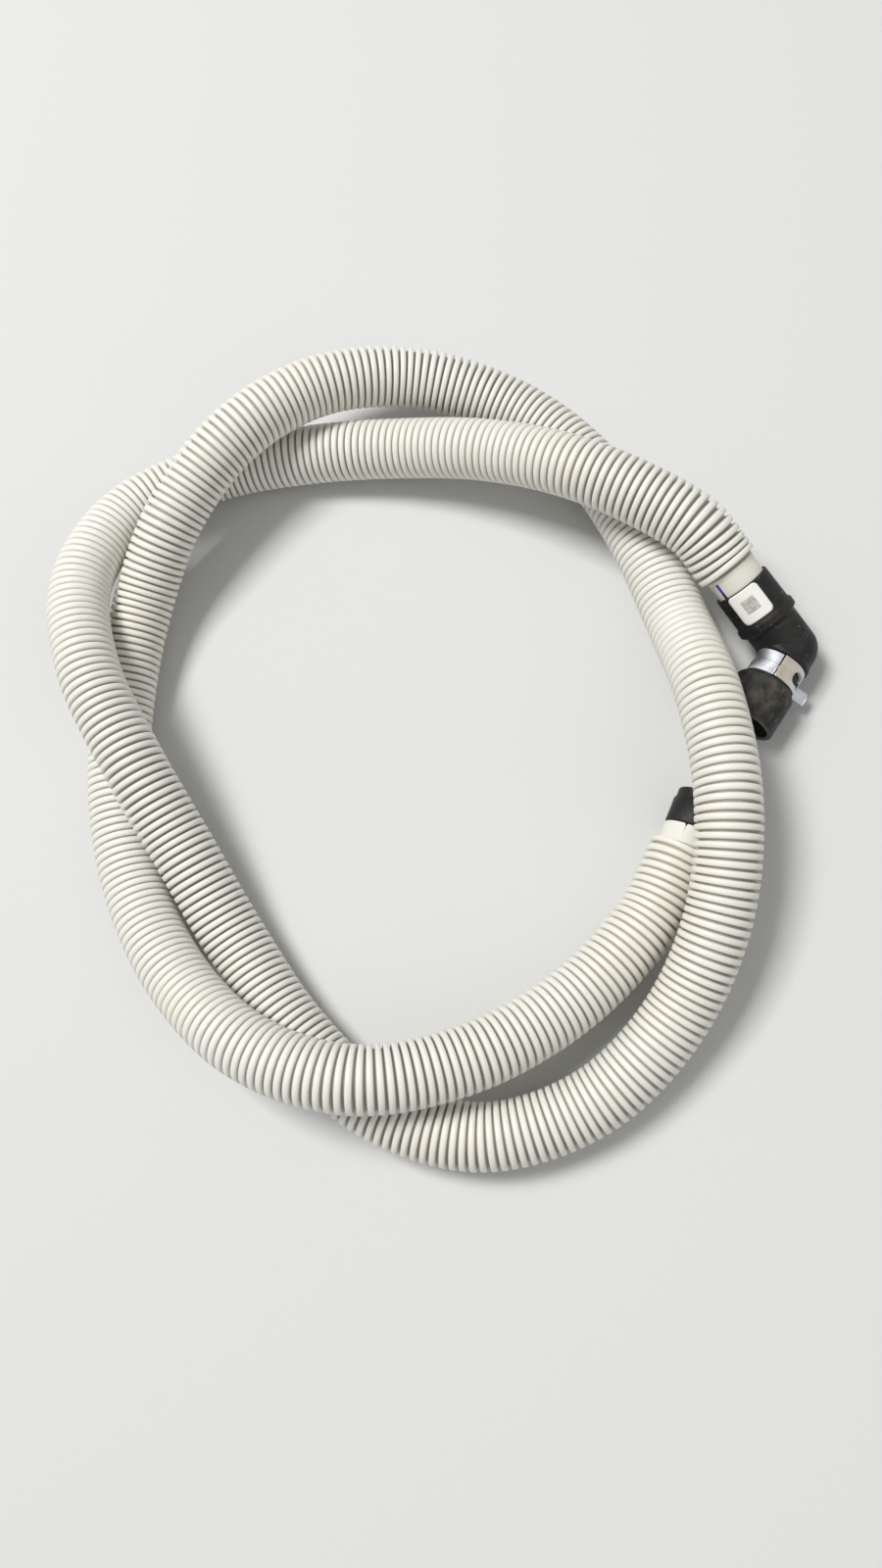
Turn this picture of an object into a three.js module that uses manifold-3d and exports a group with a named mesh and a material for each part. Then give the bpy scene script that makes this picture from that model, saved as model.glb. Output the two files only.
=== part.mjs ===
// Dishwasher drain hose, laid on a floor in a loose coil of two turns.
//
// One blown plastic hose with a plain cuff at each end. A moulded rubber elbow
// boot is pushed over one cuff, with a wound strip clamp on its leg and a
// blank label on its collar. A short rubber sleeve is plugged into the other.
// Millimetres, +Z up. The origin is on the floor, under the middle of the coil.

import * as THREE from 'three';
import { mergeVertices } from 'three/addons/utils/BufferGeometryUtils.js';
import Module from 'manifold-3d';

const wasm = await Module();
wasm.setup();

// Clearance between two pieces that touch, and the depth of a joined overlap
const SEAT_GAP = 0.3;
const JOIN = 4;

// Facets round the hose, along it, and round everything turned
const HOSE_SIDES = 12;
const HOSE_STEPS = 80;
const ROUND_SIDES = 32;
const ARC_STEPS = 6;
const FULL_TURN = 360;

// Hose: the envelope of its ribs, and its two smooth cuffs
const HOSE_DIAMETER = 26;
const HOSE_BORE = 19.4;
const CUFF_DIAMETER = 21;
const CUFF_BORE = 18;
const BOOT_CUFF_SHOWN = 8.5;
const BOOT_CUFF_PUSHED_IN = 16;
const SLEEVE_CUFF_SHOWN = 8;

// Directions of the hose's two ends and of the boot's leg, in degrees
const BOOT_HEADING = -48.1;
const BOOT_FALL = 24.3;
const LEG_HEADING = -122;
const LEG_FALL = 0.2;
const SLEEVE_HEADING = 68.7;

// Elbow boot: collar, bead, body, lip, clamp groove and bulb-shaped mouth
const COLLAR_WALL = 1.1;
const COLLAR_LENGTH = 15.2;
const COLLAR_STEP = 0.8;
const BEAD_WIDTH = 4.2;
const BEAD_HEIGHT = 0.8;
const BEAD_SLOPE = 0.8;
const BODY_LENGTH = 14.2;
const BODY_BORE = 14;
const LIP_WIDTH = 2.2;
const LIP_HEIGHT = 0.4;
const GROOVE_START = 7.3;
const GROOVE_WALL = 2.2;
const BULB_RADIUS = 12.7;
const BULB_SHOULDER = 4;
const MOUTH_REACH = 37.4;
const MOUTH_DEPTH = 15;
const MOUTH_WALL = 1.9;
const RIM_ROUND = 0.5;

// Strip clamp: one strip wound round the leg, which steps up over its own start
const STRIP_THICKNESS = 0.7;
const STRIP_WIDTH = 9.6;
const STRIP_START = -5;
const STRIP_OVERLAP = 99;
const STRIP_RAMP = 8;
const STRIP_STEP = 10;
const WINDOW_TURN = -68;
const WINDOW_LENGTH = 9.4;
const WINDOW_WIDTH = 5.2;
const WINDOW_CORNER = 2.2;
const EAR_WIDTH = 5.4;
const EAR_RISE = 6;

// Label on the collar
const LABEL_SIDE = 13.2;
const LABEL_THICKNESS = 0.3;
const LABEL_CORNER = 2;
const LABEL_INSET = 0.4;
const LABEL_TURN = 30;

// Rubber sleeve in the far cuff
const SPIGOT_LENGTH = 15;
const SLEEVE_DIAMETER = 21;
const SLEEVE_BODY = 7.5;
const SLEEVE_TAPER = 1.2;
const TIP_DIAMETER = 18.6;
const TIP_LENGTH = 6;
const SLEEVE_BORE = 15;

// Centreline of the hose, from the boot's cuff to the sleeve's cuff. Where it
// lies on the floor its height is the hose's radius, and where it passes over
// an earlier turn it rides up over it in a long low hump.
const ROUTE = [
  [135.9, 60.2, 30.5], [118.4, 78, 39.2], [78.5, 100.5, 40], [38, 118, 29.5],
  [-3.5, 127, 19], [-47, 128.5, 14], [-90, 121, 14], [-125, 97, 22],
  [-137.5, 58.5, 33.5], [-126.5, 17, 40.5], [-105.5, -21, 37], [-83.5, -57, 25.5],
  [-61, -93, 15.5], [-34.5, -127.5, 13.5], [-1, -155, 13.5], [40.5, -164.5, 13.5],
  [81.5, -150.5, 13.5], [111.5, -120, 18.5], [128.5, -81.5, 29], [132.5, -39, 37.5],
  [127, 3.5, 34], [116, 43, 19], [101, 83, 13.5], [78, 120, 14],
  [44.5, 147, 16.5], [3.5, 158.5, 24.5], [-37.5, 150, 35], [-72, 124.5, 40],
  [-98.5, 90.5, 33], [-115, 53, 19], [-121, 11, 13.5], [-118, -32.5, 14],
  [-104.5, -73.5, 17.5], [-80.5, -109, 25.5], [-47, -135, 36.5], [-6, -145.5, 40],
  [35.5, -136.5, 30], [72.5, -114, 18.5], [101, -83.5, 13.5], [117, -52.5, 13],
].map(([x, y, z]) => new THREE.Vector3(x, y, z));

// Sizes that follow from the ones above
const cuffRadius = CUFF_DIAMETER / 2;
const socketRadius = cuffRadius + SEAT_GAP;
const collarRadius = socketRadius + COLLAR_WALL;
const collarEnd = BODY_LENGTH + BEAD_WIDTH + COLLAR_LENGTH;
const bodyRadius = collarRadius - COLLAR_STEP;
const boreRadius = BODY_BORE / 2;
const socketFloor = collarEnd - BOOT_CUFF_PUSHED_IN - SEAT_GAP;
const grooveRadius = boreRadius + GROOVE_WALL;
const stripInner = grooveRadius + SEAT_GAP;
const stripPitch = STRIP_THICKNESS + SEAT_GAP;
const grooveEnd = GROOVE_START + STRIP_WIDTH + 2 * SEAT_GAP;
const labelInner = collarRadius + SEAT_GAP;
const labelOuter = labelInner + LABEL_THICKNESS;

const UP = new THREE.Vector3(0, 0, 1);
const LATHE_AXIS = new THREE.Vector3(0, 1, 0);

// A unit vector that heads round from +X and falls below the level, in degrees
function heading(round, fall = 0) {
  const turn = THREE.MathUtils.degToRad(round);
  const drop = THREE.MathUtils.degToRad(fall);
  const level = Math.cos(drop);
  return new THREE.Vector3(Math.cos(turn) * level, Math.sin(turn) * level, -Math.sin(drop));
}

// Places a piece turned about Y so that its axis starts at a point and runs on
function along(start, direction) {
  const turn = new THREE.Quaternion().setFromUnitVectors(LATHE_AXIS, direction);
  return new THREE.Matrix4().compose(start, turn, new THREE.Vector3(1, 1, 1));
}

// Places a flat outline: its X to one side, its Y upwards, extruded onwards
function across(start, direction) {
  const side = new THREE.Vector3().crossVectors(UP, direction).normalize();
  const top = new THREE.Vector3().crossVectors(direction, side);
  return new THREE.Matrix4().makeBasis(side, top, direction).setPosition(start);
}

// A closed solid from a three.js geometry, with its shared corners joined up
function solid(geometry, placing = new THREE.Matrix4()) {
  const bare = geometry.clone();
  bare.deleteAttribute('normal');
  bare.deleteAttribute('uv');
  bare.applyMatrix4(placing);
  const joined = mergeVertices(bare);
  const corners = joined.index.array;
  const triangles = [];
  for (let i = 0; i < corners.length; i += 3) {
    const [a, b, c] = corners.slice(i, i + 3);
    if (a !== b && b !== c && c !== a) triangles.push(a, b, c);
  }
  return new wasm.Manifold(new wasm.Mesh({
    numProp: 3,
    vertProperties: new Float32Array(joined.attributes.position.array),
    triVerts: new Uint32Array(triangles),
  }));
}

// A turned solid from [radius, height] points, from the axis back to the axis
function turned(outline, placing) {
  const points = outline.map(([radius, height]) => new THREE.Vector2(radius, height));
  return solid(new THREE.LatheGeometry(points, ROUND_SIDES), placing);
}

// A plain round rod, used for bores and cuffs
function rod(radius, from, to, placing) {
  return turned([[0, from], [radius, from], [radius, to], [0, to]], placing);
}

// Points on an arc of a turned outline, with angles from the radial direction
function arc(radius, height, size, fromAngle, toAngle) {
  return Array.from({ length: ARC_STEPS + 1 }, (_, i) => {
    const angle = THREE.MathUtils.degToRad(
      THREE.MathUtils.lerp(fromAngle, toAngle, i / ARC_STEPS));
    return [radius + size * Math.cos(angle), height + size * Math.sin(angle)];
  });
}

// A rectangle with round corners, centred on the origin
function rounded(width, height, corner) {
  const x = width / 2 - corner;
  const y = height / 2 - corner;
  const shape = new THREE.Shape();
  shape.absarc(x, y, corner, 0, 0.5 * Math.PI, false);
  shape.absarc(-x, y, corner, 0.5 * Math.PI, Math.PI, false);
  shape.absarc(-x, -y, corner, Math.PI, 1.5 * Math.PI, false);
  shape.absarc(x, -y, corner, 1.5 * Math.PI, 2 * Math.PI, false);
  shape.closePath();
  return shape;
}

// A prism that grows straight out from an axis, turned round it from the top:
// the shape's X lies round the axis and its Y along it
function outwards(shape, start, direction, turn) {
  const placing = across(start, direction)
    .multiply(new THREE.Matrix4().makeRotationZ(THREE.MathUtils.degToRad(90 + turn)))
    .multiply(new THREE.Matrix4().makeBasis(LATHE_AXIS, UP, new THREE.Vector3(1, 0, 0)));
  const settings = { depth: 2 * labelOuter, bevelEnabled: false, curveSegments: ARC_STEPS };
  return solid(new THREE.ExtrudeGeometry(shape, settings), placing);
}

// A named mesh of a finished solid
function piece(name, body, material) {
  const mesh = body.getMesh();
  const geometry = new THREE.BufferGeometry();
  geometry.setAttribute('position', new THREE.BufferAttribute(mesh.vertProperties, 3));
  geometry.setIndex(new THREE.BufferAttribute(mesh.triVerts, 1));
  geometry.computeVertexNormals();
  const made = new THREE.Mesh(geometry, material);
  made.name = name;
  return made;
}

// Where the two ends and the boot's corner are
const bootEnd = ROUTE[0];
const sleeveEnd = ROUTE[ROUTE.length - 1];
const bootDirection = heading(BOOT_HEADING, BOOT_FALL);
const hoseward = bootDirection.clone().negate();
const legDirection = heading(LEG_HEADING, LEG_FALL);
const sleeveDirection = heading(SLEEVE_HEADING);
const corner = bootEnd.clone().addScaledVector(bootDirection, BOOT_CUFF_SHOWN + collarEnd);

// Drain hose: ribbed envelope and both cuffs, blown in one piece
function drainHose() {
  const centreline = new THREE.CatmullRomCurve3(ROUTE, false, 'catmullrom', 0.5);
  const tube = (diameter) => {
    const section = new THREE.Shape(Array.from({ length: HOSE_SIDES }, (_, i) => {
      const angle = (i / HOSE_SIDES) * 2 * Math.PI;
      return new THREE.Vector2(Math.cos(angle), Math.sin(angle)).multiplyScalar(diameter / 2);
    }));
    return solid(new THREE.ExtrudeGeometry(section, {
      steps: HOSE_STEPS, extrudePath: centreline, bevelEnabled: false,
    }));
  };
  const bootSide = along(bootEnd, bootDirection);
  const sleeveSide = along(sleeveEnd, sleeveDirection);
  const bootCuff = BOOT_CUFF_SHOWN + BOOT_CUFF_PUSHED_IN;
  const outside = tube(HOSE_DIAMETER)
    .add(rod(cuffRadius, -JOIN, bootCuff, bootSide))
    .add(rod(cuffRadius, -JOIN, SLEEVE_CUFF_SHOWN, sleeveSide));
  const inside = tube(HOSE_BORE)
    .add(rod(CUFF_BORE / 2, -JOIN, bootCuff + JOIN, bootSide))
    .add(rod(CUFF_BORE / 2, -JOIN, SLEEVE_CUFF_SHOWN + JOIN, sleeveSide));
  return outside.subtract(inside);
}

// Elbow boot: two branches that meet at a mitred corner, moulded in one piece
function elbowBoot() {
  const beadRadius = collarRadius + BEAD_HEIGHT;
  const beadEnd = BODY_LENGTH + BEAD_WIDTH;
  const collar = turned([
    ...arc(0, 0, bodyRadius, -90, 0),
    [bodyRadius, BODY_LENGTH],
    [beadRadius, BODY_LENGTH + BEAD_SLOPE],
    [beadRadius, beadEnd - BEAD_SLOPE],
    [collarRadius, beadEnd],
    [collarRadius, collarEnd - RIM_ROUND],
    [collarRadius - RIM_ROUND, collarEnd],
    [0, collarEnd],
  ], along(corner, hoseward));
  const legPlace = along(corner, legDirection);
  const leg = turned([
    ...arc(0, 0, bodyRadius, -90, 0),
    [bodyRadius, GROOVE_START - LIP_WIDTH - LIP_HEIGHT],
    [bodyRadius + LIP_HEIGHT, GROOVE_START - LIP_WIDTH],
    [bodyRadius + LIP_HEIGHT, GROOVE_START],
    [grooveRadius, GROOVE_START],
    [grooveRadius, grooveEnd],
    ...arc(BULB_RADIUS - BULB_SHOULDER, grooveEnd + BULB_SHOULDER, BULB_SHOULDER, -75, 0),
    [BULB_RADIUS, MOUTH_REACH - RIM_ROUND],
    [BULB_RADIUS - RIM_ROUND, MOUTH_REACH],
    [0, MOUTH_REACH],
  ], legPlace);
  const clampRoom = rod(collarEnd, GROOVE_START, grooveEnd, legPlace);
  const socket = rod(socketRadius, socketFloor, collarEnd + JOIN, along(corner, hoseward));
  const collarBore = rod(boreRadius, 0, collarEnd, along(corner, hoseward));
  const legBore = turned([
    ...arc(0, 0, boreRadius, -90, 0),
    [boreRadius, MOUTH_REACH],
    [0, MOUTH_REACH],
  ], legPlace);
  const mouth = rod(BULB_RADIUS - MOUTH_WALL, MOUTH_REACH - MOUTH_DEPTH, MOUTH_REACH + JOIN, legPlace);
  return collar.subtract(clampRoom)
    .add(leg)
    .subtract(socket)
    .subtract(collarBore)
    .subtract(legBore)
    .subtract(mouth);
}

// Strip clamp: wound once round, then up over its own start, with a window
// through both layers for the pliers and one corner of its end bent out as an ear
function hoseClamp() {
  const wound = FULL_TURN + STRIP_OVERLAP;
  const lap = (progress, lift) => {
    const angle = THREE.MathUtils.degToRad(90 + STRIP_START - progress);
    const climbed = THREE.MathUtils.clamp((progress - FULL_TURN) / STRIP_RAMP + 1, 0, 1);
    const radius = stripInner + climbed * stripPitch + lift;
    return new THREE.Vector2(Math.cos(angle), Math.sin(angle)).multiplyScalar(radius);
  };
  const stretch = (stops, thickness) => new THREE.Shape([
    ...stops.map((progress) => lap(progress, 0)),
    ...stops.toReversed().map((progress) => lap(progress, thickness)),
  ]);
  const evenly = (from, to) => {
    const steps = Math.ceil((to - from) / STRIP_STEP);
    return Array.from({ length: steps + 1 }, (_, i) => from + ((to - from) * i) / steps);
  };
  const stripStart = GROOVE_START + SEAT_GAP;
  const band = (shape, from, width) => solid(
    new THREE.ExtrudeGeometry(shape, { depth: width, bevelEnabled: false }),
    across(corner.clone().addScaledVector(legDirection, from), legDirection));
  const stops = [...evenly(0, FULL_TURN - STRIP_RAMP), ...evenly(FULL_TURN, wound)];
  const strip = band(stretch(stops, STRIP_THICKNESS), stripStart, STRIP_WIDTH);
  const earSweep = THREE.MathUtils.radToDeg(STRIP_THICKNESS / (stripInner + stripPitch));
  const earStart = stripStart + STRIP_WIDTH - EAR_WIDTH;
  const ear = band(stretch([wound - earSweep, wound], STRIP_THICKNESS + EAR_RISE),
    earStart, EAR_WIDTH);
  const middle = corner.clone().addScaledVector(legDirection, stripStart + STRIP_WIDTH / 2);
  const window = outwards(rounded(WINDOW_LENGTH, WINDOW_WIDTH, WINDOW_CORNER),
    middle, legDirection, WINDOW_TURN);
  return strip.subtract(window).add(ear);
}

// Label: a thin sheet with round corners, bent round the collar
function label() {
  const halfSweep = LABEL_SIDE / labelOuter / 2;
  const ring = new THREE.Shape();
  ring.absarc(0, 0, labelOuter, -halfSweep, halfSweep, false);
  ring.absarc(0, 0, labelInner, halfSweep, -halfSweep, true);
  ring.closePath();
  const top = bootEnd.clone().addScaledVector(bootDirection, BOOT_CUFF_SHOWN + LABEL_INSET);
  const middle = top.clone().addScaledVector(bootDirection, LABEL_SIDE / 2);
  const turn = THREE.MathUtils.degToRad(90 + LABEL_TURN);
  const settings = { depth: LABEL_SIDE, bevelEnabled: false, curveSegments: ARC_STEPS };
  const sheet = solid(new THREE.ExtrudeGeometry(ring, settings),
    across(top, bootDirection).multiply(new THREE.Matrix4().makeRotationZ(turn)));
  const width = 2 * labelOuter * Math.sin(halfSweep);
  return sheet.intersect(outwards(rounded(width, LABEL_SIDE, LABEL_CORNER),
    middle, bootDirection, LABEL_TURN));
}

// Sleeve: a spigot inside the cuff, a body as wide as the cuff, and a lighter tip
function endSleeve() {
  const bodyStart = SLEEVE_CUFF_SHOWN + SEAT_GAP;
  const bodyEnd = bodyStart + SLEEVE_BODY;
  const tipEnd = bodyEnd + SLEEVE_TAPER + TIP_LENGTH;
  const spigotRadius = CUFF_BORE / 2 - SEAT_GAP;
  const spigotEnd = SLEEVE_CUFF_SHOWN - SPIGOT_LENGTH;
  const bore = SLEEVE_BORE / 2;
  const tip = TIP_DIAMETER / 2;
  return turned([
    [bore, spigotEnd],
    [spigotRadius, spigotEnd],
    [spigotRadius, bodyStart],
    [SLEEVE_DIAMETER / 2, bodyStart],
    [SLEEVE_DIAMETER / 2, bodyEnd],
    [tip, bodyEnd + SLEEVE_TAPER],
    [tip, tipEnd - RIM_ROUND],
    [tip - RIM_ROUND, tipEnd],
    [bore, tipEnd],
    [bore, spigotEnd],
  ], along(sleeveEnd, sleeveDirection));
}

// Colours and finishes
const cream = new THREE.MeshStandardMaterial({ color: 0xe6e3da, roughness: 0.45, metalness: 0 });
const rubber = new THREE.MeshStandardMaterial({ color: 0x1b1b1d, roughness: 0.55, metalness: 0 });
const zinc = new THREE.MeshStandardMaterial({ color: 0xc4c2bc, roughness: 0.3, metalness: 1 });
const paper = new THREE.MeshStandardMaterial({ color: 0xefeee6, roughness: 0.6, metalness: 0 });

// The coil is laid with the middle of its footprint over the origin
const coil = new THREE.Group();
coil.add(
  piece('drain_hose', drainHose(), cream),
  piece('elbow_boot', elbowBoot(), rubber),
  piece('hose_clamp', hoseClamp(), zinc),
  piece('label', label(), paper),
  piece('end_sleeve', endSleeve(), rubber),
);
const footprint = new THREE.Box3().setFromObject(coil, true);
const middle = footprint.getCenter(new THREE.Vector3());
coil.position.set(-middle.x, -middle.y, -footprint.min.z);

const part = new THREE.Group();
part.add(coil);

export default part;
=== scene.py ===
import math

import bmesh
import bpy
import numpy as np
from mathutils import Matrix, Vector


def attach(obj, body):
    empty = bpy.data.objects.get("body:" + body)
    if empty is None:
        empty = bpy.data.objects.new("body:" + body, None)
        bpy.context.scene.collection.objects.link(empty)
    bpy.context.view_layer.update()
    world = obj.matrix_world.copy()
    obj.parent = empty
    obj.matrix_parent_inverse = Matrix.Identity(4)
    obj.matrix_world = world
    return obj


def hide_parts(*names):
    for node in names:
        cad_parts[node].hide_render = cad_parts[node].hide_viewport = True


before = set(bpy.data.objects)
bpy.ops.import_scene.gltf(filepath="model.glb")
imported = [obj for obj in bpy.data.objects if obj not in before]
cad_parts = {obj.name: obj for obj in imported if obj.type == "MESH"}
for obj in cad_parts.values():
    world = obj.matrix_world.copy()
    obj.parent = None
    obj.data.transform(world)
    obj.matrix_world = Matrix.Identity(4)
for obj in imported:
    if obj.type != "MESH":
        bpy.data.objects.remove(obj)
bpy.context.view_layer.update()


# Camera
# The photograph looks steeply down on the coil from its near side, through a
# phone's lens, with the coil a little above the middle of an upright frame.

# LAID moves camera and hose so that the origin is under the coil's middle.
LAID = Vector((-0.01124, 0.00285, 0.00002))
EYE = Vector((0.08317, -0.15217, 0.4771)) + LAID
SIGHT = Vector((-0.1311, 0.2606, -0.9565)).normalized()
LEVEL = Vector((0.9914, 0.0345, -0.1265))
LENS_MM = 27
SENSOR_MM = 36

level = (LEVEL - LEVEL.dot(SIGHT) * SIGHT).normalized()
upright = level.cross(SIGHT)
camera_data = bpy.data.cameras.new("camera")
camera_data.lens = LENS_MM
camera_data.sensor_width = SENSOR_MM
camera = bpy.data.objects.new("camera", camera_data)
camera.matrix_world = Matrix((level, upright, -SIGHT)).transposed().to_4x4()
camera.location = EYE
bpy.context.scene.collection.objects.link(camera)
bpy.context.scene.camera = camera


# Drain hose, its line
# The hose lies as it was dropped: two loose turns that pass over each other.
# It runs from the cuff in the elbow boot to the cuff with the rubber sleeve.
ROUTE = [
    (0.1359, 0.0602, 0.0305), (0.1184, 0.078, 0.0392), (0.0785, 0.1005, 0.04),
    (0.038, 0.118, 0.0295), (-0.0035, 0.127, 0.019), (-0.047, 0.1285, 0.014),
    (-0.09, 0.121, 0.014), (-0.125, 0.097, 0.022), (-0.1375, 0.0585, 0.0335),
    (-0.1265, 0.017, 0.0405), (-0.1055, -0.021, 0.037), (-0.0835, -0.057, 0.0255),
    (-0.061, -0.093, 0.0155), (-0.0345, -0.1275, 0.0135), (-0.001, -0.155, 0.0135),
    (0.0405, -0.1645, 0.0135), (0.0815, -0.1505, 0.0135), (0.1115, -0.12, 0.0185),
    (0.1285, -0.0815, 0.029), (0.1325, -0.039, 0.0375), (0.127, 0.0035, 0.034),
    (0.116, 0.043, 0.019), (0.101, 0.083, 0.0135), (0.078, 0.12, 0.014),
    (0.0445, 0.147, 0.0165), (0.0035, 0.1585, 0.0245), (-0.0375, 0.15, 0.035),
    (-0.072, 0.1245, 0.04), (-0.0985, 0.0905, 0.033), (-0.115, 0.053, 0.019),
    (-0.121, 0.011, 0.0135), (-0.118, -0.0325, 0.014), (-0.1045, -0.0735, 0.0175),
    (-0.0805, -0.109, 0.0255), (-0.047, -0.135, 0.0365), (-0.006, -0.1455, 0.04),
    (0.0355, -0.1365, 0.03), (0.0725, -0.114, 0.0185), (0.101, -0.0835, 0.0135),
    (0.117, -0.0525, 0.013),
]
PER_SPAN = 40


def heading(turn, fall=0.0):
    """A unit vector that heads turn degrees round from +X and falls below the level."""
    turn, fall = math.radians(turn), math.radians(fall)
    flat = math.cos(fall)
    return Vector((math.cos(turn) * flat, math.sin(turn) * flat, -math.sin(fall)))


BOOT_WAY = heading(turn=-48.1, fall=24.3)
SLEEVE_WAY = heading(turn=68.7)


def line_through(points):
    """Points on the uniform Catmull-Rom curve through points, close together."""
    p = np.array(points)
    p = np.vstack([2 * p[0] - p[1], p, 2 * p[-1] - p[-2]])
    t = np.linspace(0, 1, PER_SPAN, endpoint=False)[:, None]
    spans = []
    for a, b, c, d in zip(p, p[1:], p[2:], p[3:]):
        bend = 2 * a - 5 * b + 4 * c - d
        twist = 3 * b - a - 3 * c + d
        spans.append((2 * b + (c - a) * t + bend * t ** 2 + twist * t ** 3) / 2)
    return np.vstack([*spans, p[-2:-1]])


def evenly(line, count):
    """count + 1 points on the line at even distances along it."""
    run = np.concatenate([[0], np.cumsum(np.linalg.norm(np.diff(line, axis=0), axis=1))])
    where = np.linspace(0, run[-1], count + 1)
    return np.stack([np.interp(where, run, line[:, k]) for k in range(3)], axis=1)


def carried(ways, first):
    """A direction across each way, carried along the line without twisting."""
    side = np.array(first)
    sides = []
    for way in ways:
        side = side - way * side.dot(way)
        side = side / np.linalg.norm(side)
        sides.append(side)
    return np.array(sides)


line = line_through([Vector(p) + LAID for p in ROUTE])
hose_length = np.linalg.norm(np.diff(line, axis=0), axis=1).sum()
boot_start, sleeve_start = Vector(line[0]), Vector(line[-1])


# Drain hose, its wall
# Blow-moulded cream plastic. Each rib is a stiff ring and the thin grooves
# between the ribs give, so in a bend they close inside and open outside.
RIB_PITCH = 0.00335
RIB_RADIUS = 0.013
GROOVE_RADIUS = 0.0108
RIB_SHARE = 0.76
CLOSED_SHARE = 0.9
RIB_GIVE = 0.6
ROUND = 36
CUFF_RADIUS = 0.0105
CUFF_BORE = 0.009
CAP_INSET = 0.0002
HOSE_BORE = 0.0097
BORE_STEP = 0.011
TUCKED = 0.003
TUCKED_CLEARANCE = 0.0003

# A rib's rings: offset in half ribs, height from groove to crest, and the
# lean in degrees of the surface there, which keeps the crests nearly flat.
RIB_RINGS = [(-1.0, 0.25, -62), (-0.74, 0.96, -26), (0.74, 0.96, 26), (1.0, 0.25, 62)]

ribs = round(hose_length / RIB_PITCH)
stations = evenly(line, 2 * ribs)
ways = np.gradient(stations, axis=0)
ways /= np.linalg.norm(ways, axis=1)[:, None]
ways[0] = -np.array(BOOT_WAY)
ways[-1] = np.array(SLEEVE_WAY)
sides = carried(ways, (0, 0, 1))
angles = np.linspace(0, 2 * math.pi, ROUND, endpoint=False)


def ring_ways(way, side):
    """The directions of a ring's points out from its centre."""
    other = np.cross(way, side)
    return np.outer(np.cos(angles), side) + np.outer(np.sin(angles), other)


rows, crests, normals = [], [], []


def add_ring(centre, station, radius):
    """Adds a plain round ring, square to the hose's way at a station."""
    rows.append(np.array(centre) + radius * ring_ways(ways[station], sides[station]))
    crests.append(0.0)
    normals.append(None)


def add_rib(crown):
    """Adds the rings of the rib whose middle is at a station."""
    out = ring_ways(ways[crown], sides[crown])
    turn = (ways[min(crown + 1, 2 * ribs)] - ways[crown - 1]) / RIB_PITCH
    room = 1 - RIB_RADIUS * out.dot(turn)
    share = np.minimum(RIB_SHARE * (1 + RIB_GIVE * (room - 1)), CLOSED_SHARE * room)
    for along, height, lean in RIB_RINGS:
        radius = GROOVE_RADIUS + (RIB_RADIUS - GROOVE_RADIUS) * height
        rows.append(stations[crown] + radius * out
                    + np.outer(RIB_PITCH / 2 * share * along, ways[crown]))
        crests.append(height)
        lean = math.radians(lean)
        normals.append(out * math.cos(lean) + ways[crown] * math.sin(lean))


def ringed_mesh(name, rows):
    """A smooth mesh of rings joined in order, and the last one to the first."""
    count, around = len(rows), len(rows[0])
    mesh = bpy.data.meshes.new(name)
    here = np.arange(around)
    onward = (here + 1) % around
    faces = []
    for i in range(count):
        a, b = i * around, ((i + 1) % count) * around
        faces.append(np.stack([a + here, a + onward, b + onward, b + here], axis=1))
    mesh.from_pydata(np.concatenate(rows), [], np.concatenate(faces).tolist())
    mesh.polygons.foreach_set("use_smooth", np.ones(len(mesh.polygons), bool))
    mesh.update()
    piece = bpy.data.objects.new(name, mesh)
    bpy.context.scene.collection.objects.link(piece)
    return piece


add_ring(boot_start + BOOT_WAY * TUCKED, 0, CUFF_BORE + TUCKED_CLEARANCE)
add_ring(boot_start, 0, CUFF_RADIUS - CAP_INSET)
for rib in range(ribs):
    add_ring(stations[2 * rib], 2 * rib, GROOVE_RADIUS)
    add_rib(2 * rib + 1)
add_ring(sleeve_start, -1, GROOVE_RADIUS)
add_ring(sleeve_start + SLEEVE_WAY * TUCKED, -1, CUFF_BORE + TUCKED_CLEARANCE)
for rib in range(ribs - 1, 0, -round(BORE_STEP / RIB_PITCH)):
    add_ring(stations[2 * rib], 2 * rib, HOSE_BORE)

hose = ringed_mesh("hose", rows)
crest = hose.data.attributes.new("crest", "FLOAT", "POINT")
crest.data.foreach_set("value", np.repeat(crests, ROUND).astype(np.float32))
shading = np.empty(3 * ROUND * len(rows), dtype=np.float32)
hose.data.vertex_normals.foreach_get("vector", shading)
shading = shading.reshape(len(rows), ROUND, 3)
for row, given in enumerate(normals):
    if given is not None:
        shading[row] = given
hose.data.normals_split_custom_set_from_vertices(shading.reshape(-1, 3).tolist())


def belongs(piece, slot, *nodes):
    """Rides a piece on the one body and hides the CAD parts that it stands for. The slot is not
    used.
    """
    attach(piece, "root")
    if nodes:
        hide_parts(*nodes)


belongs(hose, "hose", "drain_hose")


# Drain hose, its finish
# The plastic has a low sheen over a fine grain from the mould. It yellows in
# patches, and painted shade, with a little dirt, darkens the grooves.
NUMBER, COLOUR, WAY = "NodeSocketFloat", "NodeSocketColor", "NodeSocketVector"
CREAM = (0.8, 0.79, 0.73, 1)
YELLOWED = (0.78, 0.735, 0.6, 1)
# Painted shade in the grooves, with a little dirt.
SHADE_AND_DIRT = (0.32, 0.29, 0.235, 1)


def finish(name, piece):
    """A new material on a piece: its node tree and its Principled shader."""
    material = bpy.data.materials.new(name)
    material.use_nodes = True
    piece.data.materials.clear()
    piece.data.materials.append(material)
    return material.node_tree, material.node_tree.nodes["Principled BSDF"]


def node(tree, kind, inputs=None, **settings):
    """A node with its settings, and with values or links for its inputs."""
    made = tree.nodes.new(kind)
    for key, value in settings.items():
        setattr(made, key, value)
    for key, value in (inputs or {}).items():
        if isinstance(value, bpy.types.NodeSocket):
            tree.links.new(value, made.inputs[key])
        else:
            made.inputs[key].default_value = value
    return made


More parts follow.
